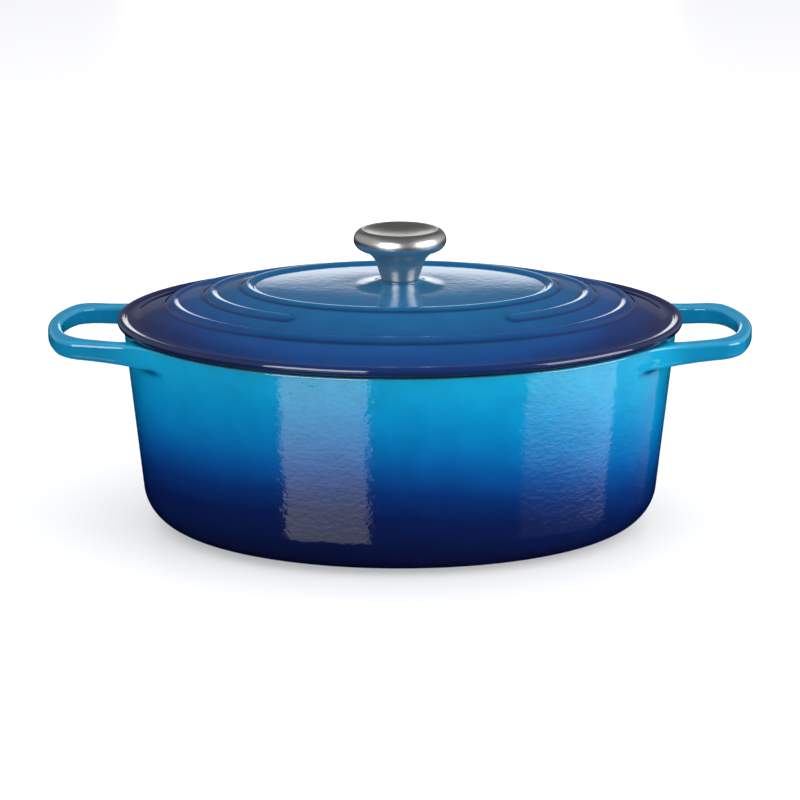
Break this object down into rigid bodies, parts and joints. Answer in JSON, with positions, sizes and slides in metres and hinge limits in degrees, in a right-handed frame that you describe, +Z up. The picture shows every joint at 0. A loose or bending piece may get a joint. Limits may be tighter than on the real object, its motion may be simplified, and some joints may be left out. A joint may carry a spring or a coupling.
{
  "type": "oval dutch oven",
  "caption": "Oval enamelled cast iron dutch oven with loop handles, a domed lid with raised rings and a hollow steel knob; the lid lifts off.",
  "frame": {"origin": "centre of the pot's flat base, on the surface it stands on", "axes": "+Z up, the way the lid lifts off; X along the two handles; -Y the front, where the middle ring of the lid has its gap"},
  "size_m": [0.4346, 0.2762, 0.1848],
  "materials": {
    "pot_enamel": "gloss enamel, azure at the rim running to navy at the base, pale inside and black on the rim",
    "lid_enamel": "gloss enamel, steel blue at the centre running to indigo at the edge, pale underneath",
    "knob_steel": "finely brushed stainless steel",
    "fastener_steel": "plain stainless steel"
  },
  "bodies": {
    "pot": {"pot": "pot_enamel"},
    "lid": {"lid": "lid_enamel", "knob_body": "knob_steel", "knob_cap": "knob_steel", "knob_insert": "fastener_steel", "flat_washer": "fastener_steel", "lock_washer": "fastener_steel", "knob_screw": "fastener_steel"}
  },
  "joints": [
    {"name": "lid_lift", "type": "slide", "parent": "pot", "child": "lid", "axis": [0, 0, 1], "range_m": [0, 0.2]}
  ]
}
